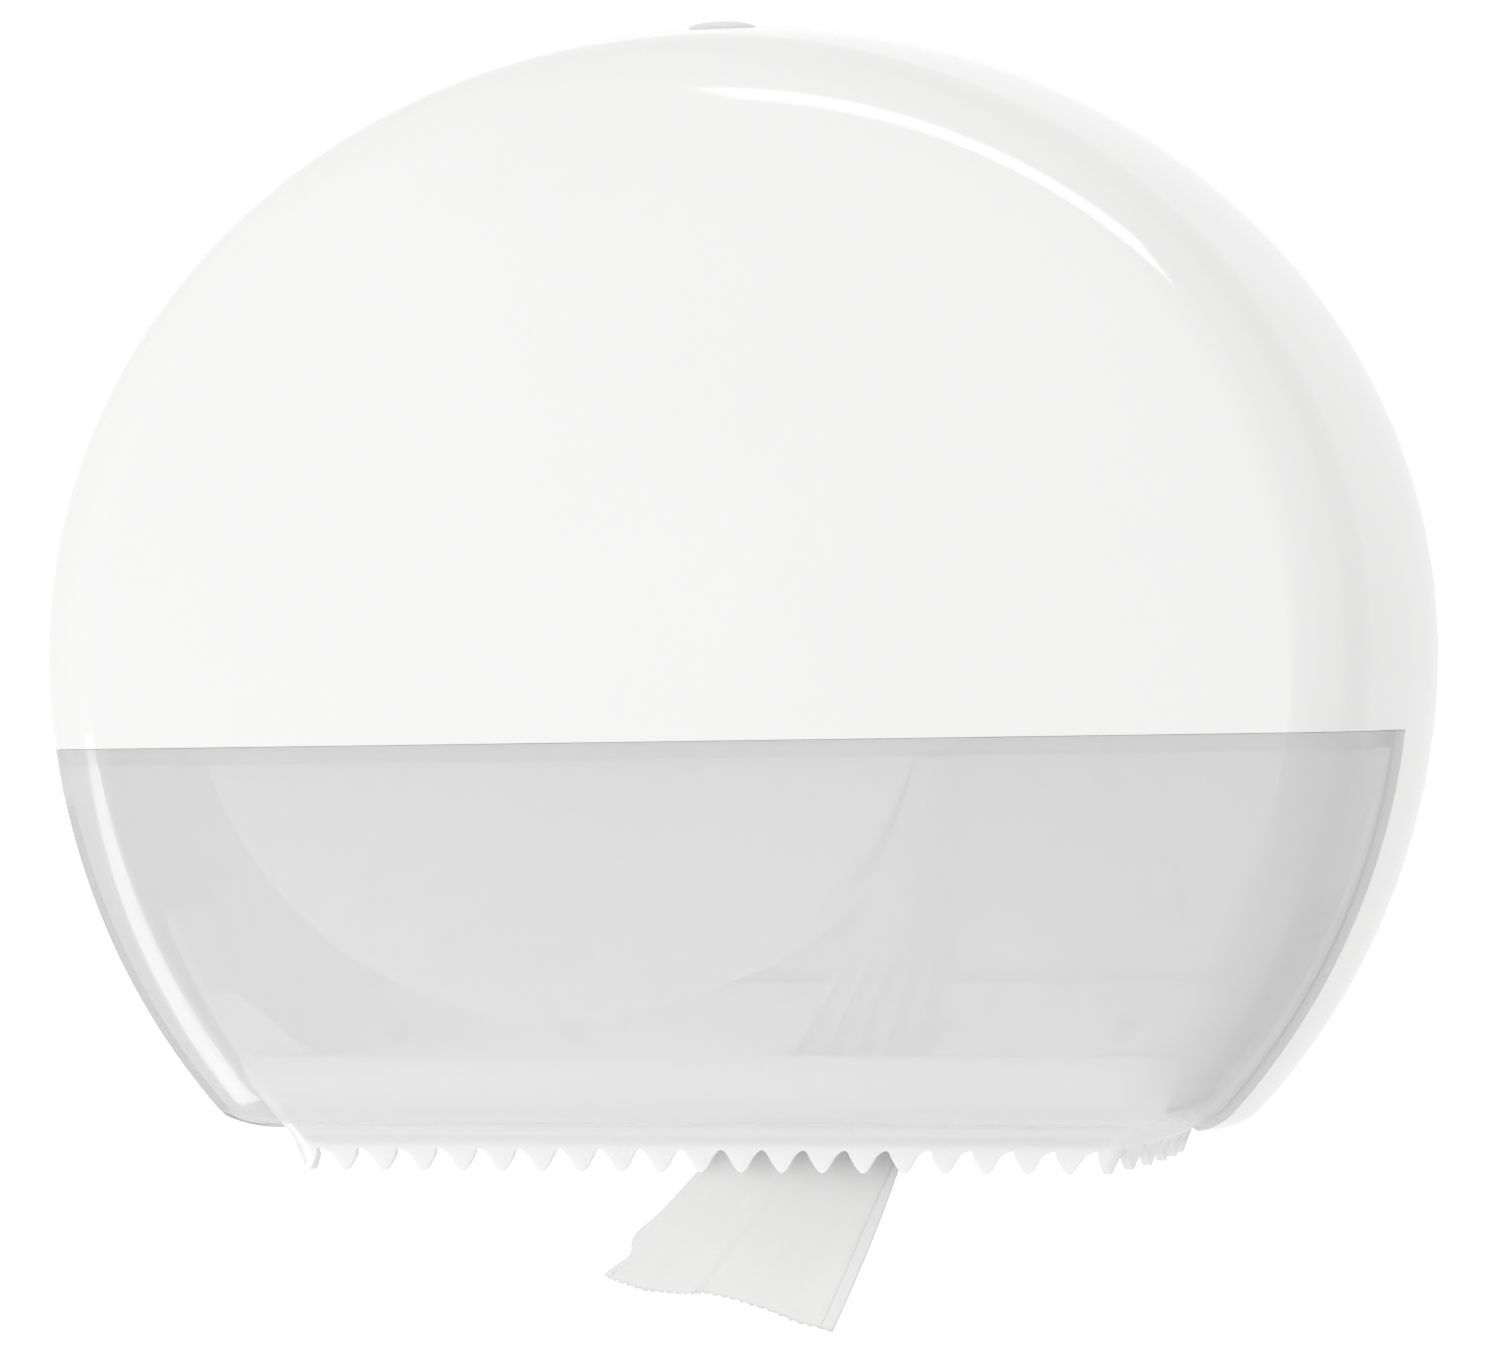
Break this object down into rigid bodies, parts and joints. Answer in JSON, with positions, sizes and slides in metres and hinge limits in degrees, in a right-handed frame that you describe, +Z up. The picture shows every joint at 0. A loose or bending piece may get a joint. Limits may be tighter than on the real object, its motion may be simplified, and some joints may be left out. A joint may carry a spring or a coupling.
{
  "type": "jumbo toilet roll dispenser",
  "caption": "Wall-mounted jumbo toilet roll dispenser: hinged rounded cover with a frosted window over a roll spindle, a stub roll place and a toothed paper chute.",
  "frame": {"origin": "centre of the four wall screw holes, on the wall face", "axes": "+X right, +Y into the wall, +Z up; the front faces -Y"},
  "size_m": [0.437, 0.133, 0.4053],
  "materials": {
    "plate_plastic": "fine-grained moulded plastic",
    "cover_plastic": "polished moulded plastic",
    "window_plastic": "frosted translucent plastic",
    "chute_plastic": "satin moulded plastic",
    "bar_plastic": "semi-gloss moulded plastic",
    "screw_steel": "zinc-plated",
    "pin_steel": "drawn",
    "spindle_plastic": "satin",
    "spring_steel": "drawn wire",
    "pad_rubber": "matte",
    "hub_plastic": "satin",
    "core_card": "wound grey-brown card",
    "tissue_roll": "soft wound tissue",
    "lock_plastic": "satin",
    "button_plastic": "satin",
    "lock_steel": "plated",
    "strike_steel": "zinc-plated",
    "tissue_sheet": "soft creased tissue"
  },
  "bodies": {
    "wall_frame": {"back_plate": "plate_plastic", "paper_chute": "chute_plastic", "tear_bar": "bar_plastic", "chute_screws": "screw_steel", "hinge_pins": "pin_steel", "main_spindle": "spindle_plastic", "spindle_screws": "screw_steel", "brake_spring": "spring_steel", "brake_pad": "pad_rubber", "hub_cap": "spindle_plastic", "hub_cap_screw": "screw_steel", "stub_spindle": "spindle_plastic", "stub_screws": "screw_steel", "stub_cap": "spindle_plastic", "latch_strike": "strike_steel", "strike_screws": "screw_steel", "paper_tail": "tissue_sheet"},
    "cover": {"cover_shell": "cover_plastic", "cover_window": "window_plastic", "lock_housing": "lock_plastic", "lock_screws": "screw_steel", "button_spring": "spring_steel"},
    "lock_button": {"lock_button": "button_plastic"},
    "key_cam": {"key_cylinder": "lock_steel", "latch_cam": "lock_steel", "cam_screw": "screw_steel"},
    "main_roll": {"roll_hub": "hub_plastic", "core_tube": "core_card", "paper_roll": "tissue_roll"},
    "stub_roll_hub": {"stub_hub": "hub_plastic"}
  },
  "joints": [
    {"name": "cover_hinge", "type": "hinge", "parent": "wall_frame", "child": "cover", "pos_m": [0, -0.013, -0.151], "axis": [1, 0, 0], "range_deg": [0, 90]},
    {"name": "button_press", "type": "slide", "parent": "cover", "child": "lock_button", "axis": [0, 0, -1], "range_m": [0, 0.003], "stiffness_N_per_m": 600, "springref_m": -0.002, "deforming": ["button_spring"]},
    {"name": "key_turn", "type": "hinge", "parent": "lock_button", "child": "key_cam", "pos_m": [0, -0.036, 0.17], "axis": [0, 0, 1], "range_deg": [0, 90]},
    {"name": "roll_spin", "type": "hinge", "parent": "wall_frame", "child": "main_roll", "pos_m": [-0.041, -0.05, -0.002], "axis": [0, 1, 0], "continuous": true},
    {"name": "stub_spin", "type": "hinge", "parent": "wall_frame", "child": "stub_roll_hub", "pos_m": [0.137, -0.05, 0.008], "axis": [0, 1, 0], "continuous": true}
  ]
}
